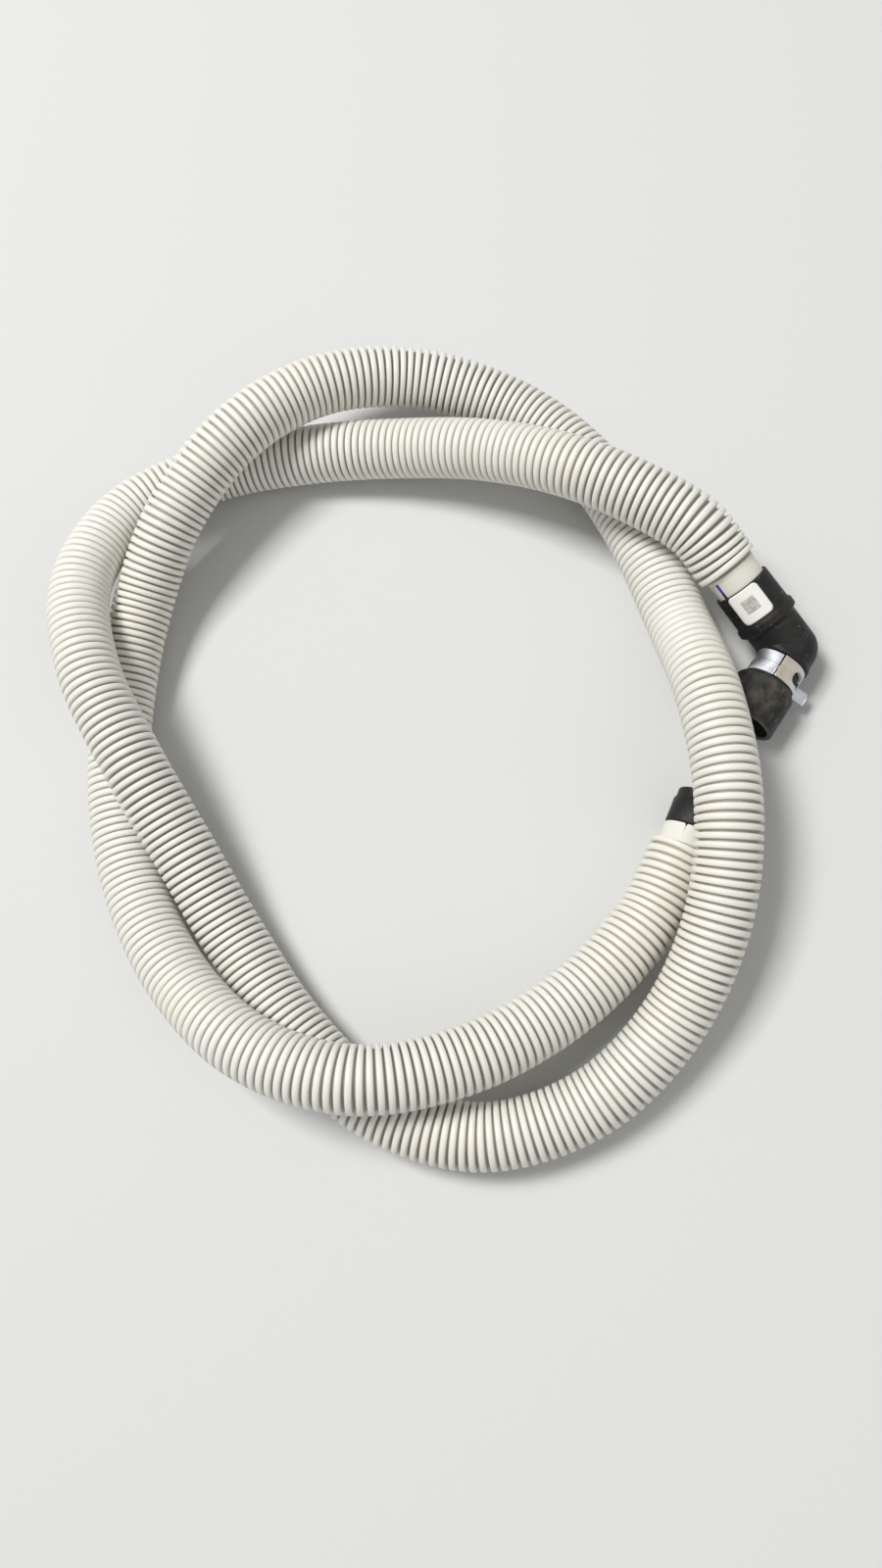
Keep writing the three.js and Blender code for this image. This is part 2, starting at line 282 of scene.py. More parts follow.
def group(name, inputs, outputs):
    """An empty node group with its sockets, and its input and output nodes."""
    tree = bpy.data.node_groups.new(name, "ShaderNodeTree")
    for title, kind, value in inputs:
        socket = tree.interface.new_socket(title, in_out="INPUT", socket_type=kind)
        socket.default_value = value
    for title, kind in outputs:
        tree.interface.new_socket(title, in_out="OUTPUT", socket_type=kind)
    return tree, tree.nodes.new("NodeGroupInput").outputs, tree.nodes.new("NodeGroupOutput").inputs


def effect(tree, which, inputs):
    """Places a group in a material, and gives what it puts out."""
    return node(tree, "ShaderNodeGroup", inputs, node_tree=which).outputs


def mixed(tree, share, first, second):
    """The colour between two colours."""
    # A Mix node has sockets for each kind of value: 6 and 7 in and 2 out are colours.
    inputs = {0: share, 6: first, 7: second}
    return node(tree, "ShaderNodeMix", inputs, data_type="RGBA").outputs[2]


def reckoned(tree, operation, *values):
    """The result of a sum on values."""
    return node(tree, "ShaderNodeMath", dict(enumerate(values)), operation=operation).outputs[0]


def times(tree, first, second):
    return reckoned(tree, "MULTIPLY", first, second)


def ramped(tree, value, start, end, low=0.0, high=1.0):
    """A value carried smoothly from one range to another."""
    return node(tree, "ShaderNodeMapRange", {
        "Value": value, "From Min": start, "From Max": end, "To Min": low, "To Max": high,
    }, interpolation_type="SMOOTHSTEP").outputs[0]


def own_place(tree):
    """The place on the piece, in its own space."""
    return node(tree, "ShaderNodeTexCoord").outputs["Object"]


def cloudy(tree, scale, detail=3.0, roughness=0.6, where=None):
    """Noise in the piece's own space."""
    return node(tree, "ShaderNodeTexNoise", {
        "Vector": where or own_place(tree), "Scale": scale, "Detail": detail,
        "Roughness": roughness}).outputs["Fac"]


def bumped(tree, shader, height, strength, distance):
    """Puts a height into a shader's normal."""
    bump = node(tree, "ShaderNodeBump", {
        "Height": height, "Strength": strength, "Distance": distance})
    tree.links.new(bump.outputs["Normal"], shader.inputs["Normal"])


def grain_group():
    """Fine grain of a moulded surface over slow, shallow waves in it."""
    tree, given, result = group("Moulded grain", [
        ("Grain", NUMBER, 2500.0), ("Waves", NUMBER, 120.0), ("Wave height", NUMBER, 0.6),
        ("Smooth", NUMBER, 0.4), ("Rough", NUMBER, 0.5),
    ], [("Height", NUMBER), ("Roughness", NUMBER)])
    fine = cloudy(tree, given["Grain"], detail=2.0)
    slow = cloudy(tree, given["Waves"], detail=2.0, roughness=0.4)
    patches = cloudy(tree, given["Waves"], detail=5.0)
    tree.links.new(reckoned(tree, "MULTIPLY_ADD", slow, given["Wave height"], fine),
                   result["Height"])
    tree.links.new(ramped(tree, patches, 0.3, 0.7, low=given["Smooth"], high=given["Rough"]),
                   result["Roughness"])
    return tree


def groove_shade_and_dirt_group():
    """Painted shade, with a little dirt: colour that darkens from a rib's crest to the groove
    beside it.
    """
    tree, given, result = group("Groove shade and dirt", [
        ("Clean", COLOUR, (0.8, 0.8, 0.8, 1)), ("Shade and dirt", COLOUR, (0.2, 0.2, 0.2, 1)),
        ("Crest", NUMBER, 1.0), ("Depth", NUMBER, 0.9), ("Foot", NUMBER, 0.3),
        ("Scale", NUMBER, 40.0),
    ], [("Colour", COLOUR)])
    patches = ramped(tree, cloudy(tree, given["Scale"]), 0.3, 0.75, low=0.85)
    deep = ramped(tree, given["Crest"], given["Depth"], given["Foot"])
    tree.links.new(mixed(tree, times(tree, deep, patches), given["Clean"], given["Shade and dirt"]),
                   result["Colour"])
    return tree


grain, groove_shade_and_dirt = grain_group(), groove_shade_and_dirt_group()


def blown_plastic(name, colour, yellowing, piece, ribbed=False):
    """Cream plastic, yellowed in patches and, where it is ribbed, with painted shade and a little
    dirt in the grooves.
    """
    tree, shader = finish(name, piece)
    patches = ramped(tree, cloudy(tree, scale=14.0), 0.4, 0.75, high=yellowing)
    base_colour = mixed(tree, patches, colour, YELLOWED)
    if ribbed:
        # Painted shade, with a little dirt, darkens the grooves.
        height = node(tree, "ShaderNodeAttribute", attribute_name="crest").outputs["Fac"]
        base_colour = effect(tree, groove_shade_and_dirt, {
            "Clean": base_colour, "Shade and dirt": SHADE_AND_DIRT, "Crest": height, "Depth": 0.88, "Foot": 0.1,
            "Scale": 45.0})["Colour"]
    moulded = effect(tree, grain, {
        "Grain": 1800.0, "Waves": 150.0, "Smooth": 0.42, "Rough": 0.56})
    tree.links.new(base_colour, shader.inputs["Base Color"])
    tree.links.new(moulded["Roughness"], shader.inputs["Roughness"])
    bumped(tree, shader, moulded["Height"], strength=0.25, distance=0.00008)


blown_plastic("ribbed_cream_plastic", CREAM, 0.4, hose, ribbed=True)


# Cuffs
# Each end of the hose is a plain thick-walled cuff, blown with it. The one in
# the boot goes on inside it; the other ends in a small notch that marks its top.
FINE_ROUND = 96
BOOT_CUFF_SHOWN = 0.0085
BOOT_CUFF = 0.0245
SLEEVE_CUFF = 0.008
CUFF_ROOT = 0.0002
SHOULDER_MIDDLE = 0.0007
SHOULDER_LENGTH = 0.0018
CUFF_ROUNDING = 0.0004
BORE_ROUNDING = 0.0003
NOTCH_TURN = -11
NOTCH_DEPTH = 0.0014
NOTCH_WIDTH = 0.0012
NOTCH_CUT = (0.008, 0.012)
PALE_CREAM = (0.75, 0.745, 0.69, 1)
# A lighter copy of the cream for the cuff in the boot, as painted light.
LIGHTER_CREAM = (0.82, 0.8, 0.7, 1)


def outward(way, turn):
    """The direction out from a way, turn degrees clockwise from its top."""
    right = way.cross(Vector((0, 0, 1))).normalized()
    turn = math.radians(turn)
    return right * math.sin(turn) + right.cross(way) * math.cos(turn)


def solid(name, points, faces):
    """A smooth closed mesh with its doubled points joined and its faces outwards."""
    mesh = bpy.data.meshes.new(name)
    mesh.from_pydata(points, [], faces)
    work = bmesh.new()
    work.from_mesh(mesh)
    bmesh.ops.remove_doubles(work, verts=work.verts, dist=1e-7)
    bmesh.ops.recalc_face_normals(work, faces=work.faces)
    for face in work.faces:
        face.smooth = True
    work.to_mesh(mesh)
    work.free()
    piece = bpy.data.objects.new(name, mesh)
    bpy.context.scene.collection.objects.link(piece)
    return piece


def joined(a, b, count):
    """Faces between two sections of count points that start at points a and b."""
    return [(a + k, a + (k + 1) % count, b + (k + 1) % count, b + k) for k in range(count)]


def turned(name, outline, start, way):
    """A solid of a closed outline of (radius, along) points carried round the way."""
    points, faces = [], []
    count = len(outline)
    for i in range(FINE_ROUND):
        out = outward(way, 360 * i / FINE_ROUND)
        points += [start + way * along + out * radius for radius, along in outline]
        faces += joined(i * count, (i + 1) % FINE_ROUND * count, count)
    return solid(name, points, faces)


def lofted(name, sections):
    """A solid through sections of as many points each, closed at both ends."""
    count = len(sections[0])
    starts = [i * count for i in range(len(sections))]
    faces = []
    for a, b in zip(starts, starts[1:]):
        faces += joined(a, b, count)
    faces += [tuple(range(end, end + count)) for end in (starts[0], starts[-1])]
    return solid(name, [point for section in sections for point in section], faces)


def arc(radius, along, size, start, end, steps=8):
    """Outline points on an arc, with angles from straight out towards onward."""
    turns = [math.radians(start + (end - start) * i / steps) for i in range(steps + 1)]
    return [(radius + size * math.cos(t), along + size * math.sin(t)) for t in turns]


def settle(piece):
    """Applies a piece's modifiers."""
    shown = piece.evaluated_get(bpy.context.evaluated_depsgraph_get())
    mesh = bpy.data.meshes.new_from_object(shown)
    piece.modifiers.clear()
    piece.data = mesh


def combined(piece, tool, operation):
    """Joins a tool to a piece or cuts it out, and removes the tool."""
    boolean = piece.modifiers.new(operation, "BOOLEAN")
    boolean.operation = operation
    boolean.object = tool
    boolean.solver = "EXACT"
    settle(piece)
    bpy.data.objects.remove(tool)


def cuff(name, length, start, way):
    """A cuff that swells from the last groove, with round edges at its mouth."""
    made = turned(name, [
        (CUFF_BORE, CUFF_ROOT), (GROOVE_RADIUS - CUFF_ROOT / 2, CUFF_ROOT),
        *arc(GROOVE_RADIUS - BORE_ROUNDING, SHOULDER_MIDDLE, CUFF_ROUNDING, -60, 20, steps=4),
        (CUFF_RADIUS, SHOULDER_LENGTH), (CUFF_RADIUS, length - 1.5 * CUFF_ROUNDING),
        *arc(CUFF_RADIUS - CUFF_ROUNDING, length - CUFF_ROUNDING, CUFF_ROUNDING, 0, 90, steps=4),
        *arc(CUFF_BORE + BORE_ROUNDING, length - BORE_ROUNDING, BORE_ROUNDING, 90, 180, steps=3),
    ], start, way)
    belongs(made, "hose")
    return made


boot_cuff = cuff("boot_cuff", BOOT_CUFF, boot_start, BOOT_WAY)
sleeve_cuff = cuff("sleeve_cuff", SLEEVE_CUFF, sleeve_start, SLEEVE_WAY)
notch_out = outward(SLEEVE_WAY, NOTCH_TURN)
notch_side = notch_out.cross(SLEEVE_WAY) * NOTCH_WIDTH
notch_tip = sleeve_start + SLEEVE_WAY * (SLEEVE_CUFF - NOTCH_DEPTH)
notch_mouth = notch_tip + SLEEVE_WAY * 2 * NOTCH_DEPTH
notch = [notch_tip, notch_mouth + notch_side, notch_mouth - notch_side]
wedge = lofted("wedge", [[point + notch_out * reach for point in notch] for reach in NOTCH_CUT])
combined(sleeve_cuff, wedge, "DIFFERENCE")
blown_plastic("plain_cream_plastic", PALE_CREAM, 0.25, sleeve_cuff)
# Painted light: the cuff in the boot gets a lighter copy of the cream, where the lamps leave it
# greyer.
blown_plastic("lighter_cream_plastic", LIGHTER_CREAM, 0.25, boot_cuff)


# Blue line
# A line of blue ink along the cuff in the boot shows how the boot is turned on
# it. Its section is given in widths across and in thicknesses off the cuff.
MARK_TURN = 68
MARK_WIDTH = 0.0014
MARK_THICKNESS = 0.00007
MARK_TUCKED = 0.001
MARK_SECTION = [(-0.5, -0.3), (0.5, -0.3), (0.5, 0.5), (0, 0.7), (-0.5, 0.5)]
DEEP_BLUE = (0.006, 0.008, 0.2, 1)
THIN_BLUE = (0.03, 0.04, 0.34, 1)


def on_round(start, way, along, radius, turn):
    """A point beside a way, turn degrees clockwise from its top."""
    return start + way * along + outward(way, turn) * radius


mark = lofted("cuff_mark", [
    [on_round(boot_start, BOOT_WAY, along, CUFF_RADIUS + up * MARK_THICKNESS,
              MARK_TURN + math.degrees(side * MARK_WIDTH / CUFF_RADIUS))
     for side, up in MARK_SECTION]
    for along in (SHOULDER_LENGTH, BOOT_CUFF_SHOWN + MARK_TUCKED)])
belongs(mark, "hose")

ink_tree, ink = finish("blue_ink", mark)
ink_wear = ramped(ink_tree, cloudy(ink_tree, scale=900.0), 0.35, 0.7)
ink_tree.links.new(mixed(ink_tree, ink_wear, DEEP_BLUE, THIN_BLUE), ink.inputs["Base Color"])


# Elbow boot
# Moulded black rubber. A collar with a bead behind it grips the cuff, the body
# turns the corner, and the leg has a clamp groove and a bulb-shaped mouth.
LEG_WAY = heading(turn=-122, fall=0.2)
SEAT_GAP = 0.0003
COLLAR_RADIUS = 0.0119
COLLAR_LENGTH = 0.0152
COLLAR_DRAFT = 0.0002
BEAD_WIDTH = 0.0042
BEAD_HEIGHT = 0.0009
BEAD_FILLET = 0.0004
BEAD_RISE = 0.0005
BEAD_FALL = 0.0006
BODY_LENGTH = 0.0142
BODY_RADIUS = 0.0111
BORE_RADIUS = 0.007
LIP_WIDTH = 0.0022
LIP_HEIGHT = 0.0005
LIP_RISE = 0.0003
GROOVE_START = 0.0073
CLAMP_GROOVE = 0.0092
STRIP_WIDTH = 0.0096
BULB_RADIUS = 0.0127
BULB_ROUNDING = 0.004
MOUTH_REACH = 0.0374
MOUTH_DEPTH = 0.015
MOUTH_WALL = 0.0019
SOCKET_CLEARANCE = 0.00012
VOXEL = 0.00042
SATIN_BLACK = (0.008, 0.008, 0.0085, 1)
DUST = (0.13, 0.112, 0.085, 1)
DUSTIER = 5
DUST_FADE = 0.003
SCRATCH = (0.2, 0.19, 0.17, 1)
SCRATCH_DRAWN = 0.9
# A painted highlight on the mouth's rim, a pale line where light catches it.
RIM_HIGHLIGHT = (0.22, 0.21, 0.18, 1)
RIM_HIGHLIGHT_SHARE = 0.4
RIM_HIGHLIGHT_START = 0.0006
RIM_HIGHLIGHT_FULL = 0.0001

bead_end = BODY_LENGTH + BEAD_WIDTH
bead_radius = COLLAR_RADIUS + BEAD_HEIGHT
collar_end = bead_end + COLLAR_LENGTH
groove_end = GROOVE_START + STRIP_WIDTH + 2 * SEAT_GAP
mouth_floor = MOUTH_REACH - MOUTH_DEPTH
mouth_radius = BULB_RADIUS - MOUTH_WALL
socket_floor = collar_end - (BOOT_CUFF - BOOT_CUFF_SHOWN) - SEAT_GAP
socket_radius = CUFF_RADIUS + SOCKET_CLEARANCE
corner = boot_start + BOOT_WAY * (BOOT_CUFF_SHOWN + collar_end)


def ball_end(radius, steps):
    """An outline's start on the axis, with the round back of the elbow."""
    return [(0, -radius), *arc(0, 0, radius, -80, 0, steps)]


boot = turned("elbow_boot_form", [
    *ball_end(BODY_RADIUS, steps=10),
    (BODY_RADIUS, BODY_LENGTH - BEAD_FILLET), (bead_radius, BODY_LENGTH + BEAD_RISE),
    (bead_radius, bead_end - BEAD_FALL), (COLLAR_RADIUS, bead_end),
    (COLLAR_RADIUS - COLLAR_DRAFT, collar_end), (0, collar_end),
], corner, -BOOT_WAY)
leg = turned("leg", [
    *ball_end(BODY_RADIUS, steps=10),
    (BODY_RADIUS, GROOVE_START - LIP_WIDTH - LIP_RISE),
    (BODY_RADIUS + LIP_HEIGHT, GROOVE_START - LIP_WIDTH), (BODY_RADIUS + LIP_HEIGHT, GROOVE_START),
    (CLAMP_GROOVE, GROOVE_START), (CLAMP_GROOVE, groove_end),
    *arc(BULB_RADIUS - BULB_ROUNDING, groove_end + BULB_ROUNDING, BULB_ROUNDING, -75, 0),
    (BULB_RADIUS, MOUTH_REACH), (0, MOUTH_REACH),
], corner, LEG_WAY)
clamp_room = turned("clamp_room", [
    (0, GROOVE_START), (collar_end, GROOVE_START), (collar_end, groove_end), (0, groove_end),
], corner, LEG_WAY)
collar_bore = turned("collar_bore", [
    (0, 0), (BORE_RADIUS, 0), (BORE_RADIUS, socket_floor), (socket_radius, socket_floor),
    (socket_radius, 2 * collar_end), (0, 2 * collar_end),
], corner, -BOOT_WAY)
leg_bore = turned("leg_bore", [
    *ball_end(BORE_RADIUS, steps=6), (BORE_RADIUS, mouth_floor), (mouth_radius, mouth_floor),
    (mouth_radius, 2 * MOUTH_REACH), (0, 2 * MOUTH_REACH),
], corner, LEG_WAY)
combined(boot, clamp_room, "DIFFERENCE")
combined(boot, leg, "UNION")
combined(boot, collar_bore, "DIFFERENCE")
combined(boot, leg_bore, "DIFFERENCE")
remesh = boot.modifiers.new("even", "REMESH")
remesh.mode = "VOXEL"
remesh.voxel_size = VOXEL
remesh.use_smooth_shade = True
smooth = boot.modifiers.new("moulded", "SMOOTH")
smooth.factor = 0.5
smooth.iterations = 4
settle(boot)
belongs(boot, "boot", "elbow_boot")


def less(tree, place, start):
    """A place as seen from a start."""
    return node(tree, "ShaderNodeVectorMath", {0: place, 1: start}, operation="SUBTRACT").outputs[0]


def along_way(tree, place, way):
    """How far a place lies along a way."""
    return node(tree, "ShaderNodeVectorMath", {0: place, 1: way},
                operation="DOT_PRODUCT").outputs["Value"]


def scaled(tree, way, amount):
    """A way made longer or shorter."""
    return node(tree, "ShaderNodeVectorMath", {0: way, "Scale": amount},
                operation="SCALE").outputs[0]


def beyond(tree, start, way, foot, top):
    """A share that rises from foot to top, measured along a way from start."""
    place = less(tree, own_place(tree), tuple(start))
    return ramped(tree, along_way(tree, place, tuple(way)), foot, top)


def dust_group():
    """Dust that lies in patches on what faces up."""
    tree, given, result = group("Settled dust", [
        ("Clean", COLOUR, (0.1, 0.1, 0.1, 1)), ("Dust", COLOUR, (0.4, 0.38, 0.34, 1)),
        ("Amount", NUMBER, 0.3), ("Scale", NUMBER, 60.0),
    ], [("Colour", COLOUR)])
    normal = node(tree, "ShaderNodeNewGeometry").outputs["Normal"]
    upward = ramped(tree, node(tree, "ShaderNodeSeparateXYZ", {0: normal}).outputs["Z"], -0.1, 0.95)
    patches = ramped(tree, cloudy(tree, given["Scale"], detail=6.0, roughness=0.65), 0.38, 0.72)
    share = times(tree, times(tree, upward, patches), given["Amount"])
    tree.links.new(mixed(tree, share, given["Clean"], given["Dust"]), result["Colour"])
    return tree


def scratch_group():
    """Thin pale scratches that run roughly one way, in a few places."""
    tree, given, result = group("Handling scratches", [
        ("Clean", COLOUR, (0.1, 0.1, 0.1, 1)), ("Scratch", COLOUR, (0.3, 0.3, 0.28, 1)),
        ("Way", WAY, (1, 0, 0)), ("Scale", NUMBER, 300.0), ("Amount", NUMBER, 0.5),
    ], [("Colour", COLOUR)])
    place = own_place(tree)
    along = along_way(tree, place, given["Way"])
    drawn_out = less(tree, place, scaled(tree, given["Way"], times(tree, along, SCRATCH_DRAWN)))
    noise = cloudy(tree, given["Scale"], detail=1.0, roughness=0.5, where=drawn_out)
    off = reckoned(tree, "ABSOLUTE", reckoned(tree, "SUBTRACT", noise, 0.5))
    scratches = ramped(tree, off, 0.012, 0.004)
    patches = ramped(tree, cloudy(tree, scale=170.0, detail=2.0), 0.5, 0.62)
    share = times(tree, times(tree, scratches, patches), given["Amount"])
    tree.links.new(mixed(tree, share, given["Clean"], given["Scratch"]), result["Colour"])
    return tree


dust, scratches = dust_group(), scratch_group()


def moulded_rubber(name, colour, piece, dustiness, way, dustier=None, rim_highlight=None):
    """Black rubber, satin from its mould, with brownish dust, scratches and, if given, a painted
    highlight on the rim.
    """
    tree, shader = finish(name, piece)
    if dustier:
        dustiness = ramped(tree, dustier(tree), 0.0, 1.0, low=dustiness, high=DUSTIER * dustiness)
    dusty = effect(tree, dust, {
        "Clean": colour, "Dust": DUST, "Amount": dustiness, "Scale": 110.0})["Colour"]
    marked = effect(tree, scratches, {
        "Clean": dusty, "Scratch": SCRATCH, "Way": tuple(way), "Scale": 260.0,
        "Amount": 0.55})["Colour"]
    if rim_highlight:
        # A painted highlight lightens the mouth's rim.
        marked = mixed(tree, times(tree, rim_highlight(tree), RIM_HIGHLIGHT_SHARE), marked, RIM_HIGHLIGHT)
    moulded = effect(tree, grain, {
        "Grain": 3200.0, "Waves": 220.0, "Wave height": 1.2, "Smooth": 0.42, "Rough": 0.62})
    tree.links.new(marked, shader.inputs["Base Color"])
    tree.links.new(moulded["Roughness"], shader.inputs["Roughness"])
    shader.inputs["Specular IOR Level"].default_value = 0.26
    bumped(tree, shader, moulded["Height"], strength=0.35, distance=0.00012)


def bulb(tree):
    """The share of the bulb, which lies lowest and gathers the most dust."""
    return beyond(tree, corner, LEG_WAY, groove_end, groove_end + DUST_FADE)


def mouth_rim_highlight(tree):
    """The share of the mouth's rim that gets a painted highlight, a pale line where light catches
    it.
    """
    return beyond(tree, corner, LEG_WAY, MOUTH_REACH - RIM_HIGHLIGHT_START, MOUTH_REACH - RIM_HIGHLIGHT_FULL)


moulded_rubber("satin_black_rubber", SATIN_BLACK, boot, 0.14, LEG_WAY, bulb, mouth_rim_highlight)


# Strip clamp
# Bright spring steel, wound once round the leg and up over its own start. Its
# end has a window, and beyond it one corner is bent out as an ear.
STRIP_THICKNESS = 0.0007
LAYER_GAP = 0.00012
STRIP_START = -5
STRIP_OVERLAP = 99
STRIP_RAMP = 3
STRIP_STEP = 3
STRIP_SECTION = [(-1, 0), (1, 0), (1, 0.5), (1, 1), (-1, 1), (-1, 0.5)]
STRIP_ROUNDING = 0.00012
WINDOW_TURN = -68
WINDOW_LENGTH = 0.0094
WINDOW_WIDTH = 0.0052
WINDOW_CORNER = 0.0022
WINDOW_CUT = (0.006, 0.014)
EAR_WIDTH = 0.0054
EAR_RISE = 0.0056
EAR_BEND = 0.0009
EAR_ANGLE = 85
BEND_STEPS = 8
RISE_STEPS = 4
BRIGHT = (0.6, 0.63, 0.68, 1)
TARNISH = (0.56, 0.5, 0.4, 1)
LINE_SPREAD = 0.02
# A painted reflection, yellowish, on the outer end of the strip.
WARM_REFLECTION = (0.66, 0.55, 0.38, 1)
WARM_REFLECTION_SHARE = 0.55
SEAM_SHADE = (0.05, 0.045, 0.04, 1)
SEAM_TURN = -2

# Where the painted reflection and the painted seam shade on the outer end change:
# each pair is where a change starts and where it is full, up from the leg's middle or on round from
# the seam.
UPPER_SIDE = (0.001, 0.002)
SEAM_START = (0.0, 0.0001)
SEAM_STOP = (0.0006, 0.00045)
WARM_REFLECTION_STOP = (0.009, 0.007)

strip_inner = CLAMP_GROOVE + SEAT_GAP
strip_start = GROOVE_START + SEAT_GAP


def strip_stop(progress):
    """Middle and outward normal of the strip, progress degrees along it."""
    climbed = min(max((progress - 360) / STRIP_RAMP + 1, 0), 1)
    radius = strip_inner + STRIP_THICKNESS / 2 + climbed * (STRIP_THICKNESS + LAYER_GAP)
    out = outward(LEG_WAY, STRIP_START - progress)
    return corner + out * radius, out


def strip(name, stops, start, width):
    """A strip through stops of a middle and a normal, from start along the leg."""
    return lofted(name, [
        [middle + LEG_WAY * (start + width * across) + out * (up * STRIP_THICKNESS / 2)
         for up, across in STRIP_SECTION] for middle, out in stops])


def softened(piece, width, segments=2):
    """Rounds the sharp edges of a piece."""
    bevel = piece.modifiers.new("edges", "BEVEL")
    bevel.width = width
    bevel.segments = segments
    bevel.limit_method = "ANGLE"
    bevel.angle_limit = math.radians(35)
    settle(piece)
    piece.data.polygons.foreach_set("use_smooth", np.ones(len(piece.data.polygons), bool))


def rounded(width, height, radius, steps=6):
    """Corner points of a rectangle with round corners, in order round it."""
    points = []
    for i, (x, y) in enumerate([(1, 1), (-1, 1), (-1, -1), (1, -1)]):
        for k in range(steps + 1):
            turn = math.radians(90 * (i + k / steps))
            points.append((x * (width / 2 - radius) + radius * math.cos(turn),
                           y * (height / 2 - radius) + radius * math.sin(turn)))
    return points


wound = 360 + STRIP_OVERLAP
clamp = strip("hose_clamp_strip",
              [strip_stop(progress) for progress in range(0, wound + 1, STRIP_STEP)],
              strip_start, STRIP_WIDTH)

end_middle, end_out = strip_stop(wound)
onward = end_out.cross(LEG_WAY)
ear_stops = [strip_stop(wound - STRIP_STEP), (end_middle, end_out)]
for step in range(1, BEND_STEPS + 1):
    swing = math.radians(EAR_ANGLE * step / BEND_STEPS)
    normal = end_out * math.cos(swing) - onward * math.sin(swing)
    ear_stops.append((end_middle + (end_out - normal) * EAR_BEND, normal))
bent_middle, bent_normal = ear_stops[-1]
ear_way = end_out * math.sin(swing) + onward * math.cos(swing)
ear_stops += [(bent_middle + ear_way * EAR_RISE * k / RISE_STEPS, bent_normal)
              for k in range(1, RISE_STEPS + 1)]
ear = strip("ear", ear_stops, strip_start + STRIP_WIDTH - EAR_WIDTH, EAR_WIDTH)
combined(clamp, ear, "UNION")

window_out = outward(LEG_WAY, WINDOW_TURN)
window_side = window_out.cross(LEG_WAY)
window_middle = corner + LEG_WAY * (strip_start + STRIP_WIDTH / 2)
window = lofted("window", [
    [window_middle + window_out * reach + window_side * x + LEG_WAY * y
     for x, y in rounded(WINDOW_LENGTH, WINDOW_WIDTH, WINDOW_CORNER)] for reach in WINDOW_CUT])
combined(clamp, window, "DIFFERENCE")
softened(clamp, STRIP_ROUNDING)
belongs(clamp, "clamp", "hose_clamp")


def drawn_group():
    """Fine lines that drawing leaves round a strip, and the tarnish between them."""
    tree, given, result = group("Drawn strip", [
        ("Axis", WAY, (0, 0, 1)), ("Lines", NUMBER, 4000.0),
        ("Bright", COLOUR, (0.7, 0.7, 0.7, 1)), ("Tarnish", COLOUR, (0.5, 0.45, 0.35, 1)),
    ], [("Colour", COLOUR), ("Height", NUMBER), ("Roughness", NUMBER)])
    place = own_place(tree)
    along = along_way(tree, place, given["Axis"])
    sideways = node(tree, "ShaderNodeCombineXYZ", {0: along}).outputs[0]
    strewn = node(tree, "ShaderNodeVectorMath", {0: scaled(tree, place, LINE_SPREAD), 1: sideways},
                  operation="ADD").outputs[0]
    lines = cloudy(tree, given["Lines"], roughness=0.7, where=strewn)
    stain = ramped(tree, cloudy(tree, scale=260.0, detail=4.0), 0.45, 0.75)
    tree.links.new(mixed(tree, stain, given["Bright"], given["Tarnish"]), result["Colour"])
    tree.links.new(lines, result["Height"])
    tree.links.new(ramped(tree, lines, 0.3, 0.7, low=0.26, high=0.42), result["Roughness"])
    return tree


steel_tree, steel = finish("zinc_bright_steel", clamp)
drawn = effect(steel_tree, drawn_group(), {
    "Axis": tuple(LEG_WAY), "Lines": 3000.0, "Bright": BRIGHT, "Tarnish": TARNISH})
seam_out, seam_way = outward(LEG_WAY, SEAM_TURN), outward(LEG_WAY, SEAM_TURN - 90)
above = beyond(steel_tree, corner, seam_out, *UPPER_SIDE)
outer_end = times(steel_tree, above, beyond(steel_tree, corner, seam_way, *SEAM_START))
before_window = beyond(steel_tree, corner, seam_way, *WARM_REFLECTION_STOP)
# A painted yellowish reflection over the outer end, before the window.
warm_reflection = times(steel_tree, times(steel_tree, outer_end, before_window), WARM_REFLECTION_SHARE)
# Painted shade in the step at the seam.
seam = times(steel_tree, outer_end, beyond(steel_tree, corner, seam_way, *SEAM_STOP))
with_reflection = mixed(steel_tree, warm_reflection, drawn["Colour"], WARM_REFLECTION)
steel_tree.links.new(mixed(steel_tree, seam, with_reflection, SEAM_SHADE), steel.inputs["Base Color"])
steel_tree.links.new(drawn["Roughness"], steel.inputs["Roughness"])
steel.inputs["Metallic"].default_value = 1.0
bumped(steel_tree, steel, drawn["Height"], strength=0.2, distance=0.00005)


# Label
# A square of matt white film with round corners, stuck on the boot's collar.
# It is blank but for one plain, slightly mottled grey square in its middle.
LABEL_SIDE = 0.0137
LABEL_THICKNESS = 0.00014
LABEL_CORNER = 0.002
LABEL_INSET = 0.0004
LABEL_TURN = 30
LABEL_RINGS = 12
LABEL_STEP = 0.0007
LABEL_LIFT = 0.00006
SQUARE_HALF = 0.003
SQUARE_BLUR = 0.0001
FILM_WHITE = (0.87, 0.86, 0.79, 1)
SQUARE_GREY = (0.2, 0.19, 0.17, 1)

label_middle = boot_start + BOOT_WAY * (BOOT_CUFF_SHOWN + LABEL_INSET + LABEL_SIDE / 2)
label_corners = rounded(LABEL_SIDE, LABEL_SIDE, LABEL_CORNER)
label_edge = []
for (x, y), (next_x, next_y) in zip(label_corners, label_corners[1:] + label_corners[:1]):
    parts = math.ceil(math.hypot(next_x - x, next_y - y) / LABEL_STEP)
    label_edge += [(x + (next_x - x) * k / parts, y + (next_y - y) * k / parts)
                   for k in range(parts)]


def on_collar(x, y, lift):
    """A point of the label, x round the collar and y along it."""
    turn = LABEL_TURN + math.degrees(x / COLLAR_RADIUS)
    return on_round(label_middle, BOOT_WAY, y, COLLAR_RADIUS + lift, turn)


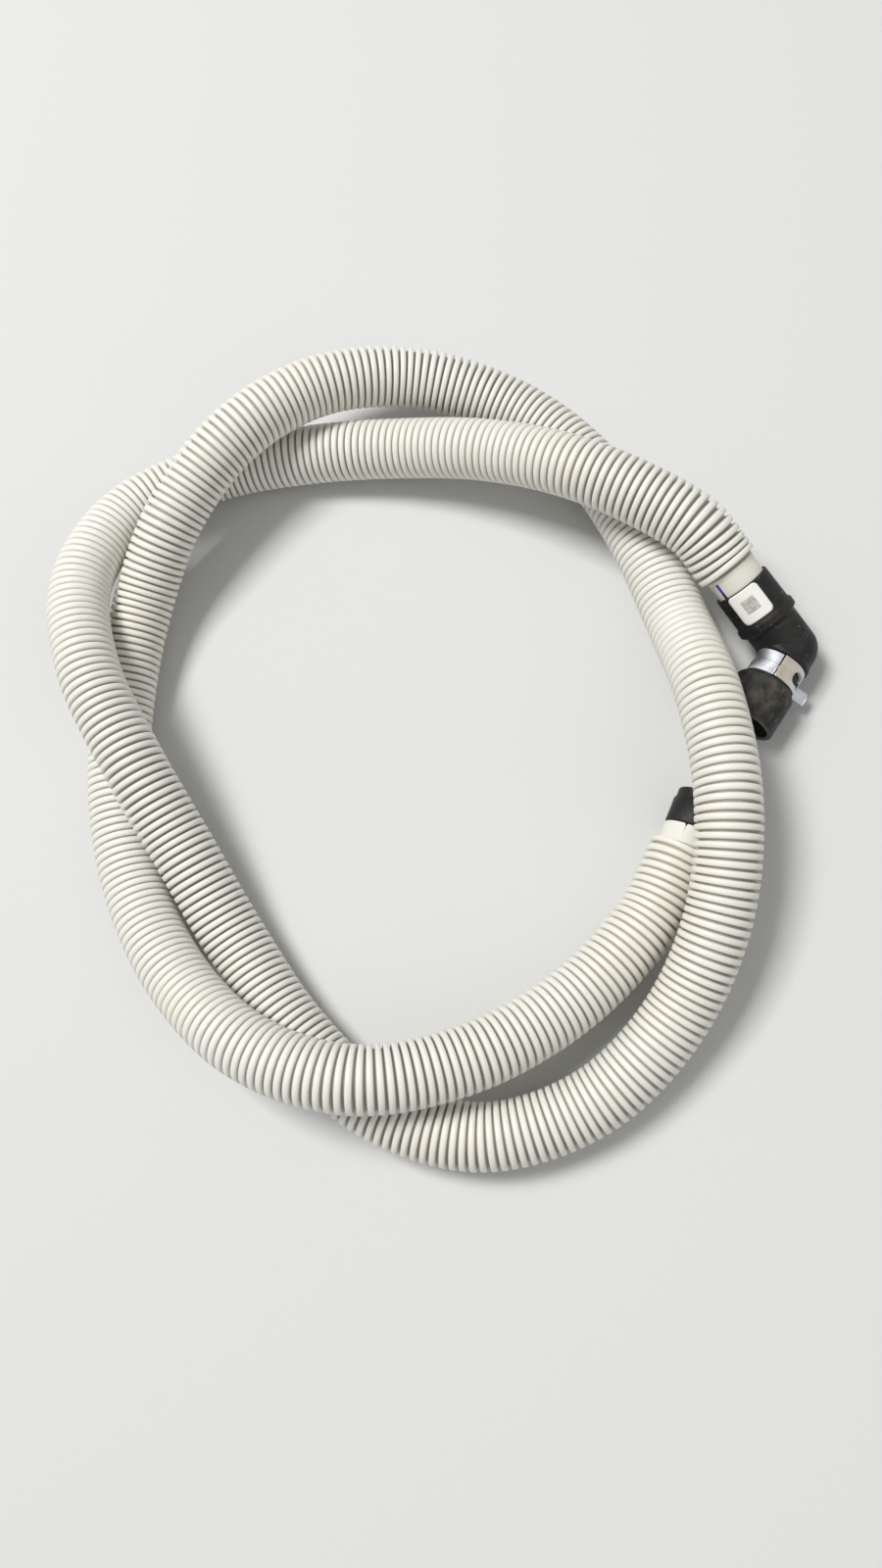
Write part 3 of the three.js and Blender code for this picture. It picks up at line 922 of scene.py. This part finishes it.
points, faces = [], []
for lift in (LABEL_LIFT, LABEL_LIFT + LABEL_THICKNESS):
    for ring in range(LABEL_RINGS + 1):
        share = ring / LABEL_RINGS
        points += [on_collar(x * share, y * share, lift) for x, y in label_edge]
edge = len(label_edge)
sheet = (LABEL_RINGS + 1) * edge
rim = LABEL_RINGS * edge
for side in (0, sheet):
    for ring in range(side, side + rim, edge):
        faces += joined(ring, ring + edge, edge)
faces += joined(rim, sheet + rim, edge)
label = solid("blank_label", points, faces)
belongs(label, "label", "label")

film_tree, film = finish("label_film", label)
from_middle = less(film_tree, own_place(film_tree), tuple(label_middle))
inside = ramped(film_tree, cloudy(film_tree, scale=1500.0, detail=2.0), 0.35, 0.6, 0.35, 0.75)
for way in (outward(BOOT_WAY, LABEL_TURN).cross(BOOT_WAY), BOOT_WAY):
    off = reckoned(film_tree, "ABSOLUTE", along_way(film_tree, from_middle, tuple(way)))
    within = ramped(film_tree, off, SQUARE_HALF + SQUARE_BLUR, SQUARE_HALF - SQUARE_BLUR)
    inside = times(film_tree, inside, within)
film_tree.links.new(mixed(film_tree, inside, FILM_WHITE, SQUARE_GREY), film.inputs["Base Color"])
film.inputs["Roughness"].default_value = 0.5
paper = effect(film_tree, grain, {"Grain": 5000.0, "Waves": 400.0})
bumped(film_tree, film, paper["Height"], strength=0.15, distance=0.00005)


# End sleeve
# A short black rubber sleeve: a spigot inside the cuff, a body as wide as the
# cuff, and a narrower tip. It is the far end of the hose, which lies free.
SPIGOT_LENGTH = 0.015
SPIGOT_CLEARANCE = 0.0001
SLEEVE_BODY = 0.0102
SLEEVE_TAPER = 0.0009
SLEEVE_ROUNDING = 0.0005
TIP_RADIUS = 0.0099
TIP_LENGTH = 0.0036
SLEEVE_BORE = 0.0075
MATT_BLACK = (0.011, 0.011, 0.012, 1)

spigot = CUFF_BORE - SPIGOT_CLEARANCE
spigot_start = SLEEVE_CUFF - SPIGOT_LENGTH
body_start = SLEEVE_CUFF + SEAT_GAP
body_end = body_start + SLEEVE_BODY
tip_start = body_end + SLEEVE_TAPER
tip_end = tip_start + TIP_LENGTH
sleeve = turned("rubber_sleeve", [
    (SLEEVE_BORE, spigot_start), (spigot, spigot_start), (spigot, body_start),
    (CUFF_RADIUS, body_start), (CUFF_RADIUS, body_end), (TIP_RADIUS, tip_start),
    (TIP_RADIUS, tip_end), (SLEEVE_BORE, tip_end),
], sleeve_start, SLEEVE_WAY)
softened(sleeve, SLEEVE_ROUNDING, segments=3)
belongs(sleeve, "sleeve", "end_sleeve")
moulded_rubber("matt_black_rubber", MATT_BLACK, sleeve, 0.12, SLEEVE_WAY)


# Floor and light
# A plain pale sheet under the coil, lit by a broad soft lamp from one side and
# a weak one opposite. The world adds light from all round and is seen pale.
FLOOR_SIZE = 4.0
FLOOR_GREY = (0.66, 0.66, 0.65, 1)
WORLD_LIGHT = 0.36
WORLD_GLOSS = 0.62
WORLD_SEEN = 0.8

bpy.ops.mesh.primitive_plane_add(size=FLOOR_SIZE, location=(0, 0, 0))
floor = bpy.context.object
floor.name = "floor"
floor_shader = finish("pale_floor", floor)[1]
floor_shader.inputs["Base Color"].default_value = FLOOR_GREY
floor_shader.inputs["Roughness"].default_value = 0.9

world = bpy.data.worlds.new("studio")
world.use_nodes = True
bpy.context.scene.world = world
world_tree = world.node_tree
backdrop = world_tree.nodes["Background"]
backdrop.inputs["Color"].default_value = (1, 1, 1, 1)
ray = node(world_tree, "ShaderNodeLightPath").outputs
lit = ramped(world_tree, ray["Is Glossy Ray"], 0.0, 1.0, low=WORLD_LIGHT, high=WORLD_GLOSS)
seen = times(world_tree, ray["Is Camera Ray"], WORLD_SEEN)
world_tree.links.new(reckoned(world_tree, "MAXIMUM", lit, seen), backdrop.inputs["Strength"])


def soft_lamp(name, place, size, power):
    """A square lamp that faces the middle of the coil."""
    data = bpy.data.lights.new(name, "AREA")
    data.size = size
    data.energy = power
    lamp = bpy.data.objects.new(name, data)
    lamp.location = place
    lamp.rotation_euler = Vector(place).to_track_quat("Z", "Y").to_euler()
    bpy.context.scene.collection.objects.link(lamp)


soft_lamp("key", place=(-1.15, 0.65, 2.82), size=1.0, power=84)
soft_lamp("fill", place=(0.9, -0.6, 0.9), size=0.9, power=2)

bpy.context.scene.view_settings.view_transform = "Standard"
